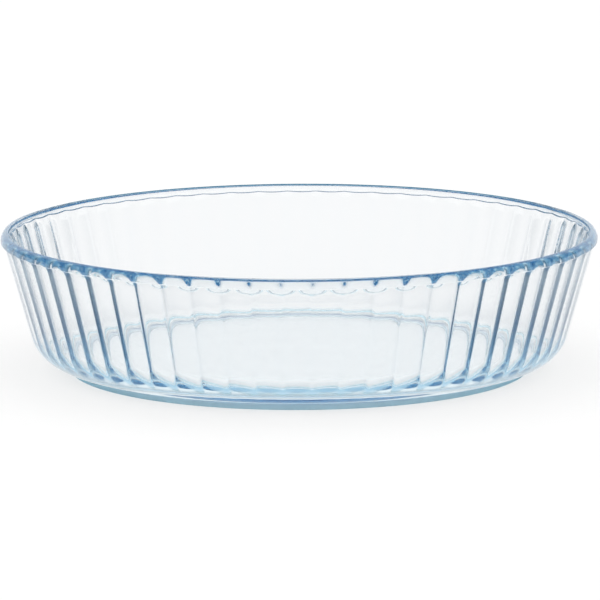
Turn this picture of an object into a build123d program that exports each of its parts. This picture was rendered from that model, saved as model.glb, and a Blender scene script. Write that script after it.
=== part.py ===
"""Round pie dish of clear pressed glass, plain outside and fluted inside.

Millimetres. +Z is up, and the origin is the middle of the face that the dish rests on.
The middle of a flute points along each of the X and Y axes.
"""

import os
from math import cos, pi, radians, sin, tan

from build123d import *

# Overall size
rim_diameter = 260.0
dish_height = 60.5

# Rim, a quarter-round bead that stands out past the wall
rim_height = 4.2
rim_overhang = 1.3
crown_width_share = 0.8  # of the rim's width
crown_height_share = 0.86  # of the rim's height
lower_chamfer_share = 0.3  # of the overhang
root_chamfer_share = 0.35

# Outside of the wall, which is plain
wall_draft = 15.6  # degrees from upright, inside and outside
outer_bend_radius = 17.0

# Inside of the wall, measured in the hollows of the flutes
flute_count = 60
flute_depth = 1.2
floor_flute_depth = 0.4  # left at the floor, where the ribs fade round the bend
rib_flat_share = 0.08  # of half a flute, on each side of a rib's crest
wall_thickness = 3.1  # level, from the outside to a hollow
inner_bend_radius = 12.5
floor_height = 8.7

# Mouth, the plain band above the ribs
mouth_depth = 1.6
mouth_step = 0.15  # ledge between the hollows and the plain band
mouth_edge_width_share = 0.17  # of the rim's width
mouth_edge_height_share = 0.75  # of the mouth's depth
rib_runout = 2.0  # height in which the ribs fade out below the band

# Foot, the ring that the dish stands on and the recess inside it
foot_height = 3.0
foot_step = 0.3
foot_chamfer = 0.4
foot_ring_width = 8.0
base_recess = 2.5
recess_run = 1.5  # width of the ring's sloping inner side

# Flats that stand for the rounds and bends
crown_flat_count = 4
mouth_edge_flat_count = 2
bend_flat_count = 5
runout_flat_count = 1
cut_overrun = 1.0

# Outside of the wall, from the sizes above
rim_radius = rim_diameter / 2
rim_bottom = dish_height - rim_height
wall_slope = tan(radians(wall_draft))
wall_turn = pi / 2 - radians(wall_draft)  # from level
outer_bend_top = foot_height + outer_bend_radius * (1 - cos(wall_turn))


def outside_radius(height):
    """Outside radius of the straight wall."""
    return rim_radius - rim_overhang - wall_slope * (rim_bottom - height)


outer_bend_centre = outside_radius(outer_bend_top) - outer_bend_radius * sin(wall_turn)
foot_radius = outer_bend_centre - foot_step
ring_inner_radius = foot_radius - foot_ring_width

# Inside of the wall, from the sizes above
ribs_top = dish_height - mouth_depth
inner_bend_top = floor_height + inner_bend_radius * (1 - cos(wall_turn))


def hollow_radius(height):
    """Inside radius of the straight wall in the bottom of a flute."""
    return outside_radius(height) - wall_thickness


inner_bend_centre = hollow_radius(inner_bend_top) - inner_bend_radius * sin(wall_turn)
mouth_radius = hollow_radius(ribs_top) + mouth_step

# Rounded edges of the rim, from the sizes above
rim_width = rim_radius - mouth_radius
crown_reach = rim_width * crown_width_share
crown_drop = rim_height * crown_height_share
mouth_edge_reach = rim_width * mouth_edge_width_share
mouth_edge_drop = mouth_depth * mouth_edge_height_share
rim_lower_chamfer = rim_overhang * lower_chamfer_share
rim_root_chamfer = rim_overhang * root_chamfer_share


def bend_corner(centre, base, radius, turn):
    """A corner of the flats of a bend, at a turn counted from its level start."""
    return centre + radius * sin(turn), base + radius * (1 - cos(turn))


def rounded_edge(side, top, reach, drop, flat_count):
    """Corners of the flats that round the edge between a side and a top, from the side up."""
    corners = []
    for step in range(flat_count + 1):
        turn = pi / 2 * step / flat_count
        corners.append((side - reach * (1 - cos(turn)), top - drop * (1 - sin(turn))))
    return corners


def fluted_slice(radius, depth, height):
    """A level slice: a shallow arc for each hollow and a short flat for the crest of each rib.

    It is a face made straight from its edges, because a sketch would join the arcs of a
    plain slice, which has no depth, into one circle that can't be lofted to the others.
    """
    half_flute = pi / flute_count
    half_hollow = half_flute * (1 - rib_flat_share)
    crest = radius - depth
    edges = []
    for flute in range(flute_count):
        middle = 2 * half_flute * flute
        hollow_start = (crest * cos(middle - half_hollow), crest * sin(middle - half_hollow), height)
        hollow_middle = (radius * cos(middle), radius * sin(middle), height)
        hollow_end = (crest * cos(middle + half_hollow), crest * sin(middle + half_hollow), height)
        rib_turn = middle + 2 * half_flute - half_hollow
        rib_end = (crest * cos(rib_turn), crest * sin(rib_turn), height)
        edges.append(ThreePointArc(hollow_start, hollow_middle, hollow_end, mode=Mode.PRIVATE))
        edges.append(Line(hollow_end, rib_end, mode=Mode.PRIVATE))
    return Face(Wire(edges))


def inner_slices():
    """Slices up the inside: round the bend, up the straight wall and over the ends of the ribs."""
    for step in range(bend_flat_count + 1):
        share = step / bend_flat_count
        radius, height = bend_corner(inner_bend_centre, floor_height, inner_bend_radius, wall_turn * share)
        depth = floor_flute_depth + (flute_depth - floor_flute_depth) * share
        yield fluted_slice(radius, depth, height)
    for step in range(runout_flat_count + 1):
        share = step / runout_flat_count
        height = ribs_top - rib_runout * (1 - share)
        yield fluted_slice(hollow_radius(height), flute_depth * cos(pi / 2 * share), height)


outer_bend = [
    bend_corner(outer_bend_centre, foot_height, outer_bend_radius, wall_turn * step / bend_flat_count)
    for step in range(bend_flat_count + 1)
]
outside_profile = [
    (0, base_recess),
    (ring_inner_radius - recess_run, base_recess),
    (ring_inner_radius, 0),
    (foot_radius - foot_chamfer, 0),
    (foot_radius, foot_chamfer),
    (foot_radius, foot_height),
    *outer_bend,
    (outside_radius(rim_bottom - rim_root_chamfer), rim_bottom - rim_root_chamfer),
    (outside_radius(rim_bottom) + rim_root_chamfer, rim_bottom),
    (rim_radius - rim_lower_chamfer, rim_bottom),
    (rim_radius, rim_bottom + rim_lower_chamfer),
    *rounded_edge(rim_radius, dish_height, crown_reach, crown_drop, crown_flat_count),
    (0, dish_height),
]

mouth_profile = [
    (0, ribs_top),
    (mouth_radius, ribs_top),
    *rounded_edge(mouth_radius, dish_height, -mouth_edge_reach, mouth_edge_drop, mouth_edge_flat_count),
    (mouth_radius + mouth_edge_reach, dish_height + cut_overrun),
    (0, dish_height + cut_overrun),
]

with BuildPart() as glass_dish:
    # Foot, bend, wall and rim, solid at first
    with BuildSketch(Plane.XZ):
        with BuildLine():
            Polyline(*outside_profile, close=True)
        make_face()
    revolve(axis=Axis.Z)

    # Fluted inside of the bend and the wall
    loft(sections=list(inner_slices()), ruled=True, mode=Mode.SUBTRACT)

    # Plain mouth with its rounded edge
    with BuildSketch(Plane.XZ):
        with BuildLine():
            Polyline(*mouth_profile, close=True)
        make_face()
    revolve(axis=Axis.Z, mode=Mode.SUBTRACT)

glass_dish.part.label = "glass_dish"

os.makedirs("parts", exist_ok=True)
export_step(glass_dish.part, "parts/glass_dish.step")
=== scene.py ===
from math import cos, pi, radians, sin, tan

import bpy
import numpy as np
from mathutils import Matrix, Vector


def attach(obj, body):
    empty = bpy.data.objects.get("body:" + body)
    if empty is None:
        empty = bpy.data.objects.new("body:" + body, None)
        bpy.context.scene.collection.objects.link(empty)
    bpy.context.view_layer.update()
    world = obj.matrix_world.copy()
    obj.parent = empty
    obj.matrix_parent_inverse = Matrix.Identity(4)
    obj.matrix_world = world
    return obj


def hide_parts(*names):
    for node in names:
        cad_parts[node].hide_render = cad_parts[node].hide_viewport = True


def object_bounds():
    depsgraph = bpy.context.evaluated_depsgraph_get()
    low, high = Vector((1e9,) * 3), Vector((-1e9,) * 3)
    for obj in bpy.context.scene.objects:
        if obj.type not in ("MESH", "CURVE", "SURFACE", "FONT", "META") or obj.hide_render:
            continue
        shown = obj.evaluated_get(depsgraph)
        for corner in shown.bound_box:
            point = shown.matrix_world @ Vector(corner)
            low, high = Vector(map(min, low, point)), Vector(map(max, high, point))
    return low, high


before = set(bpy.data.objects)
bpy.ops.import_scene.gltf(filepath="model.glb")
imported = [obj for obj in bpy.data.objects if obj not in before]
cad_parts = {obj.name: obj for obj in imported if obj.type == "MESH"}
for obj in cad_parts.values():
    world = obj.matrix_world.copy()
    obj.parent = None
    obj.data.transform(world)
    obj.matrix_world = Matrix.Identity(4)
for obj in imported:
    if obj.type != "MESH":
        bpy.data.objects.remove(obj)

cad_low, cad_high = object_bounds()

# Dish
# The whole object: one gather of clear glass, pressed between a plain mould and a fluted plunger. The outside
# is smooth, and the inside has shallow hollows with a rib between each two, which fade at the rim and floor.
rim_radius = cad_high.x
dish_height = cad_high.z
rim_height = 0.0042
rim_overhang = 0.0013
rim_lower_round = 0.0004
neck_round = 0.0004
wall_end_gap = 0.0005
crown_reach = 0.0028
crown_drop = 0.0036
mouth_depth = 0.0016
mouth_step = 0.00015
mouth_edge_reach = 0.0006
mouth_edge_drop = 0.0012

wall_draft = radians(15.6)
wall_thickness = 0.0031
outer_bend_radius = 0.0170
inner_bend_radius = 0.0125

flute_count = 60
flute_depth = 0.0012
floor_flute_depth = 0.0004
rib_runout = 0.0050
rib_round_share = 0.16

floor_height = 0.0087
foot_height = 0.0030
foot_step = 0.0003
foot_ring_width = 0.0050
foot_edge_round = 0.0004
base_recess = 0.0025
recess_run = 0.0120

neck_top = dish_height - rim_height
wall_slope = tan(wall_draft)
wall_turn = pi / 2 - wall_draft
outer_bend_top = foot_height + outer_bend_radius * (1 - cos(wall_turn))


def outside_radius(height):
    """Outside radius of the straight wall."""
    return rim_radius - rim_overhang - wall_slope * (neck_top - height)


def hollow_radius(height):
    """Inside radius of the straight wall in the bottom of a hollow."""
    return outside_radius(height) - wall_thickness


outer_bend_centre = outside_radius(outer_bend_top) - outer_bend_radius * sin(wall_turn)
foot_radius = outer_bend_centre - foot_step
recess_edge = foot_radius - foot_ring_width
neck_radius = outside_radius(neck_top)
ribs_top = dish_height - mouth_depth
full_ribs_top = ribs_top - rib_runout
inner_bend_top = floor_height + inner_bend_radius * (1 - cos(wall_turn))
inner_bend_centre = hollow_radius(inner_bend_top) - inner_bend_radius * sin(wall_turn)
mouth_radius = hollow_radius(ribs_top) + mouth_step


def round_of(centre_radius, centre_height, reach, rise, first, last, steps):
    """Points on a round of the section, between two turns counted from level outward."""
    turns = np.linspace(first, last, steps + 1)
    return [(centre_radius + reach * cos(turn), centre_height + rise * sin(turn)) for turn in turns]


def straight(start, end, steps):
    """Evenly spaced points of a straight stretch of the section, without its ends."""
    run = end[0] - start[0]
    rise = end[1] - start[1]
    shares = np.linspace(0, 1, steps + 1)[1:-1]
    return [(start[0] + run * share, start[1] + rise * share) for share in shares]


def ease(share):
    """Smooth step from 0 to 1."""
    share = min(max(share, 0), 1)
    return share * share * (3 - 2 * share)


def plain(points):
    """Rings of the section that have no hollows."""
    return [(radius, height, 0) for radius, height in points]


# Rings of the section, from the middle of the base round the outside and the rim to the middle of the floor.
# Each has its radius in the bottom of a hollow, its height, and the depth of the hollows there.
base_ring_shares = (0.05, 0.2, 0.4, 0.6, 0.8)
floor_ring_shares = (0.96, 0.85, 0.7, 0.5, 0.3, 0.15, 0.05)
recess_steps = 24
outer_bend_steps = 28
wall_steps = 12
runout_steps = 10
inner_bend_steps = 24
down, outward, upward, inward = -pi / 2, 0, pi / 2, pi

# Base, with the soft slope of its recess
section = plain([(foot_radius * share, base_recess) for share in base_ring_shares])
for step in range(1, recess_steps + 1):
    share = step / recess_steps
    section.append((recess_edge - recess_run * (1 - share), base_recess * (1 - ease(share)), 0))

# Foot ring
edge = foot_edge_round
step_base = foot_height - foot_step
section += plain(straight((recess_edge, 0), (foot_radius - edge, 0), steps=4))
section += plain(round_of(foot_radius - edge, edge, edge, edge, down, outward, steps=8))
section += plain(straight((foot_radius, edge), (foot_radius, step_base), steps=3))
section += plain(round_of(foot_radius + foot_step, step_base, foot_step, foot_step, inward, upward, steps=5))

# Outer bend and wall
for step in range(1, outer_bend_steps + 1):
    turn = wall_turn * step / outer_bend_steps
    radius = outer_bend_centre + outer_bend_radius * sin(turn)
    section.append((radius, foot_height + outer_bend_radius * (1 - cos(turn)), 0))
bend_end = (outside_radius(outer_bend_top), outer_bend_top)
section += plain(straight(bend_end, (neck_radius, neck_top - wall_end_gap), wall_steps))
section += plain(
    round_of(neck_radius + neck_round, neck_top - neck_round, neck_round, neck_round, inward, upward, steps=5)
)

# Rim bead and mouth
lower = rim_lower_round
section += plain(round_of(rim_radius - lower, neck_top + lower, lower, lower, down, outward, steps=7))
crown_centre = (rim_radius - crown_reach, dish_height - crown_drop)
section += plain(round_of(*crown_centre, crown_reach, crown_drop, outward, upward, steps=16))
mouth_edge_centre = (mouth_radius + mouth_edge_reach, dish_height - mouth_edge_drop)
section += plain(round_of(*mouth_edge_centre, mouth_edge_reach, mouth_edge_drop, upward, inward, steps=14))
section.append((mouth_radius, ribs_top, 0))

# Fluted inside: the ribs' upper ends, the wall and the bend
for step in range(runout_steps + 1):
    share = step / runout_steps
    height = ribs_top - rib_runout * share
    section.append((hollow_radius(height), height, flute_depth * ease(share)))
for step in range(1, wall_steps + 1):
    height = full_ribs_top + (inner_bend_top - full_ribs_top) * step / wall_steps
    section.append((hollow_radius(height), height, flute_depth))
for step in range(1, inner_bend_steps + 1):
    still_to_turn = 1 - step / inner_bend_steps
    turn = wall_turn * still_to_turn
    radius = inner_bend_centre + inner_bend_radius * sin(turn)
    depth = floor_flute_depth + (flute_depth - floor_flute_depth) * still_to_turn**2
    section.append((radius, floor_height + inner_bend_radius * (1 - cos(turn)), depth))
section += plain([(inner_bend_centre * share, floor_height) for share in floor_ring_shares])


def rib_curve(place, round_share):
    """How far the inside stands in, 0 in the bottom of a hollow and 1 on a rib's rounded crest."""
    place = np.abs(place)
    into_round = np.maximum(place - (1 - round_share), 0)
    before_round = np.minimum(place, 1 - round_share)
    slope = 2 * (1 - round_share)
    curve = before_round**2 + slope * (into_round - into_round**2 / (2 * round_share))
    return curve / (1 - round_share)


# Columns of points round the dish, closer together near the ribs
flute_columns = 24
crowding = 0.6
columns = flute_count * flute_columns
half_flute = pi / flute_count
across = np.linspace(-1, 1, flute_columns, endpoint=False)
across = np.sin(across * pi / 2) * crowding + across * (1 - crowding)
turns = np.concatenate([2 * half_flute * flute + half_flute * across for flute in range(flute_count)])
ribs_round_dish = np.tile(rib_curve(across, rib_round_share), flute_count)

rings = []
for radius, height, depth in section:
    ring_radius = radius - depth * ribs_round_dish
    rings.append(
        np.stack([ring_radius * np.cos(turns), ring_radius * np.sin(turns), np.full(columns, height)], axis=1)
    )
points = np.concatenate(rings)
bottom_centre = len(points)
floor_centre = bottom_centre + 1
points = np.concatenate([points, [(0, 0, base_recess), (0, 0, floor_height)]])

faces = []
for ring in range(len(rings) - 1):
    this_ring = ring * columns
    next_ring = this_ring + columns
    for column in range(columns):
        after = (column + 1) % columns
        faces.append((this_ring + column, this_ring + after, next_ring + after, next_ring + column))
last_ring = (len(rings) - 1) * columns
for column in range(columns):
    after = (column + 1) % columns
    faces.append((bottom_centre, after, column))
    faces.append((floor_centre, last_ring + column, last_ring + after))

dish_mesh = bpy.data.meshes.new("fluted_dish")
dish_mesh.from_pydata(points.tolist(), [], faces)
dish_mesh.validate()
dish_mesh.shade_smooth()
dish = bpy.data.objects.new("fluted_dish", dish_mesh)
bpy.context.scene.collection.objects.link(dish)


def mask(tree, value, empty, full, strength=1.0, interpolation="LINEAR"):
    """A mask from 0, where the value is the first given, up to its strength, where it is the second."""
    node = tree.nodes.new("ShaderNodeMapRange")
    node.interpolation_type = interpolation
    node.inputs["From Min"].default_value = empty
    node.inputs["From Max"].default_value = full
    node.inputs["To Max"].default_value = strength
    tree.links.new(value, node.inputs["Value"])
    return node.outputs["Result"]


def worked_out(tree, operation, *terms, clamp=False):
    """A Math node on terms that are sockets or plain numbers."""
    node = tree.nodes.new("ShaderNodeMath")
    node.operation = operation
    node.use_clamp = clamp
    for socket, term in zip(node.inputs, terms):
        if isinstance(term, bpy.types.NodeSocket):
            tree.links.new(term, socket)
        else:
            socket.default_value = term
    return node.outputs[0]


def length_of(tree, vector):
    """Length of a vector."""
    node = tree.nodes.new("ShaderNodeVectorMath")
    node.operation = "LENGTH"
    tree.links.new(vector, node.inputs[0])
    return node.outputs["Value"]


def blend(tree, share, first, second):
    """From the first colour to the second. Each is a socket or a plain colour."""
    node = tree.nodes.new("ShaderNodeMix")
    node.data_type = "RGBA"
    tree.links.new(share, node.inputs["Factor"])
    for socket, colour in ((node.inputs[6], first), (node.inputs[7], second)):
        if isinstance(colour, bpy.types.NodeSocket):
            tree.links.new(colour, socket)
        else:
            socket.default_value = (*colour, 1)
    return node.outputs[2]


def patches(tree, point, scale, detail):
    """Soft cloudy values over the surface."""
    node = tree.nodes.new("ShaderNodeTexNoise")
    node.inputs["Scale"].default_value = scale
    node.inputs["Detail"].default_value = detail
    tree.links.new(point, node.inputs["Vector"])
    return node.outputs["Fac"]


# Clear glass with a faint blue tint in its depth. The foot ring is satin, and its outer side has a painted
# light blue that stands in for the light the foot's edge bends and guides.
white = (1.0, 1.0, 1.0)
foot_painted_refraction_blue = (0.66, 0.92, 1.0)
tint_colour = (0.30, 0.74, 0.93)
tint_density = 7.0
satin_end = 0.0034
full_satin_height = 0.0020
satin_inner_radius = 0.0885
full_satin_radius = 0.0950
painted_blue_inner_radius = 0.0965
full_painted_blue_radius = 0.0990
glass_ior = 1.474
haze_scale = 40.0
haze_detail = 3.0
haze_start = 0.50
full_haze = 0.75
haze_strength = 0.008
wave_scale = 30.0
wave_detail = 1.0
wave_height = 0.00005

glass = bpy.data.materials.new("clear_pressed_glass")
glass.use_nodes = True
tree = glass.node_tree
shader = tree.nodes["Principled BSDF"]
shader.inputs["IOR"].default_value = glass_ior
shader.inputs["Transmission Weight"].default_value = 1.0
surface = tree.nodes.new("ShaderNodeTexCoord").outputs["Object"]
axes = tree.nodes.new("ShaderNodeSeparateXYZ")
tree.links.new(surface, axes.inputs[0])
level = tree.nodes.new("ShaderNodeCombineXYZ")
tree.links.new(axes.outputs["X"], level.inputs["X"])
tree.links.new(axes.outputs["Y"], level.inputs["Y"])
out_from_axis = length_of(tree, level.outputs[0])

low_down = mask(tree, axes.outputs["Z"], satin_end, full_satin_height)
on_ring = mask(tree, out_from_axis, satin_inner_radius, full_satin_radius)
foot_satin = worked_out(tree, "MULTIPLY", low_down, on_ring)
# Painted light blue on the outer side of the foot ring, in place of light bent and guided in the foot.
on_outer_ring = mask(tree, out_from_axis, painted_blue_inner_radius, full_painted_blue_radius)
painted_blue_foot_side = worked_out(tree, "MULTIPLY", foot_satin, on_outer_ring)
tree.links.new(blend(tree, painted_blue_foot_side, white, foot_painted_refraction_blue), shader.inputs["Base Color"])

cloudiness = patches(tree, surface, haze_scale, haze_detail)
haze = mask(tree, cloudiness, haze_start, full_haze, haze_strength)
tree.links.new(worked_out(tree, "MAXIMUM", foot_satin, haze), shader.inputs["Roughness"])
waves = tree.nodes.new("ShaderNodeBump")
waves.inputs["Strength"].default_value = 1.0
waves.inputs["Distance"].default_value = wave_height
tree.links.new(patches(tree, surface, wave_scale, wave_detail), waves.inputs["Height"])
tree.links.new(waves.outputs["Normal"], shader.inputs["Normal"])

tint = tree.nodes.new("ShaderNodeVolumeAbsorption")
tint.inputs["Color"].default_value = (*tint_colour, 1)
tint.inputs["Density"].default_value = tint_density
tree.links.new(tint.outputs["Volume"], tree.nodes["Material Output"].inputs["Volume"])
dish_mesh.materials.append(glass)

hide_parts("glass_dish")
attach(dish, "root")

# Table
# A plain white sweep of paper that the dish stands on. It shows white to the camera, keeps the dish's soft
# shadow, and glows a little more under the dish for rays that come through the glass.
table_half_width = 6.0
table_drop = 0.0001
paper_grey = 0.45
paper_roughness = 0.9
glow = 0.58
glow_under_dish = 0.10
full_glow_radius = 0.10
glow_end_radius = 0.13

table_mesh = bpy.data.meshes.new("table")
table_mesh.from_pydata(
    [
        (-table_half_width, -table_half_width, 0),
        (table_half_width, -table_half_width, 0),
        (table_half_width, table_half_width, 0),
        (-table_half_width, table_half_width, 0),
    ],
    [],
    [(0, 1, 2, 3)],
)
table = bpy.data.objects.new("table", table_mesh)
table.location.z = -table_drop
bpy.context.scene.collection.objects.link(table)

paper = bpy.data.materials.new("white_sweep")
paper.use_nodes = True
tree = paper.node_tree
sheet = tree.nodes["Principled BSDF"]
sheet.inputs["Base Color"].default_value = (paper_grey, paper_grey, paper_grey, 1)
sheet.inputs["Roughness"].default_value = paper_roughness
sheet.inputs["Specular IOR Level"].default_value = 0.0
seen = tree.nodes.new("ShaderNodeLightPath").outputs
camera_or_mirror = worked_out(tree, "MAXIMUM", seen["Is Camera Ray"], seen["Is Glossy Ray"])
seen_directly = worked_out(tree, "MAXIMUM", camera_or_mirror, seen["Is Transmission Ray"])
even_glow = worked_out(tree, "MULTIPLY", seen_directly, glow)
spot = tree.nodes.new("ShaderNodeTexCoord").outputs["Object"]
from_axis = length_of(tree, spot)
under_dish = mask(tree, from_axis, glow_end_radius, full_glow_radius, glow_under_dish)
all_glow = worked_out(tree, "MULTIPLY_ADD", seen["Is Transmission Ray"], under_dish, even_glow)
sheet.inputs["Emission Color"].default_value = (*white, 1)
tree.links.new(all_glow, sheet.inputs["Emission Strength"])

# Painted reflections: glowing colours in rings round the dish on the table, from its axis out. Only light
# that was mirrored inside one wall of the glass, or guided a long way in it, sees them. They paint the dark
# rib lines and the blue tint of the thick edges.
painted_reflection_reach = 0.40
painted_reflection_rings = (
    (0.00, (0.74, 0.80, 0.83)),
    (0.09, (0.74, 0.80, 0.83)),
    (0.105, (0.42, 0.66, 0.82)),
    (0.122, (0.36, 0.60, 0.76)),
    (0.135, (0.01, 0.12, 0.23)),
    (0.16, (0.01, 0.08, 0.17)),
    (0.20, (0.10, 0.15, 0.19)),
    (0.26, (0.28, 0.32, 0.35)),
    (0.36, (0.90, 0.92, 0.94)),
)
first_guided_depth = 4.0
all_guided_depth = 8.0
one_wall_passes = 2.5


def colour_by(tree, value, reach, stops, interpolation="LINEAR"):
    """Colour by a value, from stops given in the value's own unit, up to its reach."""
    node = tree.nodes.new("ShaderNodeValToRGB")
    ramp = node.color_ramp
    ramp.interpolation = interpolation
    while len(ramp.elements) < len(stops):
        ramp.elements.new(0.5)
    for element, (place, colour) in zip(ramp.elements, stops):
        element.position = place / reach
        element.color = (*colour, 1)
    tree.links.new(worked_out(tree, "DIVIDE", value, reach), node.inputs["Fac"])
    return node.outputs["Color"]


# Glowing painted reflection colours, seen only by light mirrored or guided inside the glass.
painted_reflections = tree.nodes.new("ShaderNodeEmission")
tree.links.new(colour_by(tree, from_axis, painted_reflection_reach, painted_reflection_rings), painted_reflections.inputs["Color"])
guided = mask(tree, seen["Glossy Depth"], first_guided_depth, all_guided_depth)
mirrored = worked_out(tree, "MULTIPLY", seen["Glossy Depth"], seen["Transmission Depth"], clamp=True)
one_wall = worked_out(tree, "LESS_THAN", seen["Transmission Depth"], one_wall_passes)
mirrored_in_one_wall = worked_out(tree, "MULTIPLY", mirrored, one_wall)
sheet_or_painted_reflections = tree.nodes.new("ShaderNodeMixShader")
tree.links.new(worked_out(tree, "MAXIMUM", mirrored_in_one_wall, guided), sheet_or_painted_reflections.inputs[0])
tree.links.new(sheet.outputs[0], sheet_or_painted_reflections.inputs[1])
tree.links.new(painted_reflections.outputs[0], sheet_or_painted_reflections.inputs[2])
tree.links.new(sheet_or_painted_reflections.outputs[0], tree.nodes["Material Output"].inputs["Surface"])
table_mesh.materials.append(paper)

# Studio
# A white room in which the dish is lit evenly. Only rays that the glass bends or mirrors find its darker
# parts: slate walls at both sides and a blue ceiling, which draw the dark edges that clear glass shows.
# The stops are degrees above level, and the sides count from straight ahead.
ceiling_blue = (0.004, 0.10, 0.28)
guided_painted_blue = (0.0, 0.11, 0.30)
front_stops = ((0, white), (46, white), (54, ceiling_blue), (75, ceiling_blue), (84, white))
side_stops = ((0, white), (3, white), (9, (0.04, 0.11, 0.18)), (50, (0.02, 0.10, 0.22)), (82, white))
side_from = 30
side_to = 50

studio = bpy.data.worlds.new("studio")
studio.use_nodes = True
bpy.context.scene.world = studio
tree = studio.node_tree
background = tree.nodes["Background"]
background.inputs["Strength"].default_value = 1.0
direction = tree.nodes.new("ShaderNodeTexCoord").outputs["Generated"]
toward_sky = tree.nodes.new("ShaderNodeSeparateXYZ")
tree.links.new(direction, toward_sky.inputs[0])
elevation = worked_out(tree, "ARCSINE", toward_sky.outputs["Z"])
heading = worked_out(tree, "ARCTAN2", toward_sky.outputs["X"], toward_sky.outputs["Y"])
off_to_side = worked_out(tree, "ABSOLUTE", heading)


def room_colour(stops):
    """Colour by elevation, from stops in degrees."""
    in_radians = [(radians(angle), colour) for angle, colour in stops]
    return colour_by(tree, elevation, pi / 2, in_radians, "EASE")


at_side = mask(tree, off_to_side, radians(side_from), radians(side_to), 1.0, "SMOOTHSTEP")
room = blend(tree, at_side, room_colour(front_stops), room_colour(side_stops))
rays = tree.nodes.new("ShaderNodeLightPath").outputs
# Light guided a long way inside the glass sees a painted blue instead of the room, which paints the deep blue
# of the thick rim and foot.
guided = mask(tree, rays["Glossy Depth"], first_guided_depth, all_guided_depth)
room_or_guided = blend(tree, guided, room, guided_painted_blue)
through_glass = worked_out(tree, "MAXIMUM", rays["Is Glossy Ray"], rays["Is Transmission Ray"])
not_scattered = worked_out(tree, "LESS_THAN", rays["Diffuse Depth"], 0.5)
sees_room = worked_out(tree, "MULTIPLY", through_glass, not_scattered)
tree.links.new(blend(tree, sees_room, white, room_or_guided), background.inputs["Color"])

# Camera
# A long lens from a little above the rim, at the photograph's angle. Its turns are the ones that a fit to
# the rim and foot outlines gave.
aim = Vector((0.00027, 0, 0.0290))
camera_distance = 2.400
camera_height_angle = radians(10.112)
camera_side_turn = radians(0.48)
camera_roll = radians(-0.205)
sensor_width = 36.0
lens_length = 329.8
toward = Vector(
    (
        -sin(camera_side_turn) * cos(camera_height_angle),
        cos(camera_side_turn) * cos(camera_height_angle),
        -sin(camera_height_angle),
    )
)
right = toward.cross(Vector((0, 0, 1))).normalized()
up = right.cross(toward)
rolled_right = right * cos(camera_roll) + up * sin(camera_roll)
rolled_up = up * cos(camera_roll) - right * sin(camera_roll)
camera = bpy.data.objects.new("camera", bpy.data.cameras.new("camera"))
camera.data.sensor_width = sensor_width
camera.data.lens = lens_length
camera.data.clip_end = 50.0
camera.matrix_world = Matrix.Translation(aim - toward * camera_distance) @ Matrix(
    (rolled_right, rolled_up, -toward)
).transposed().to_4x4()
bpy.context.scene.collection.objects.link(camera)
bpy.context.scene.camera = camera

bpy.context.scene.view_settings.view_transform = "Standard"

# Enough bounces for light that the thick rim and foot guide round inside them
cycles = bpy.context.scene.cycles
cycles.max_bounces = 40
cycles.transmission_bounces = 32
cycles.glossy_bounces = 32
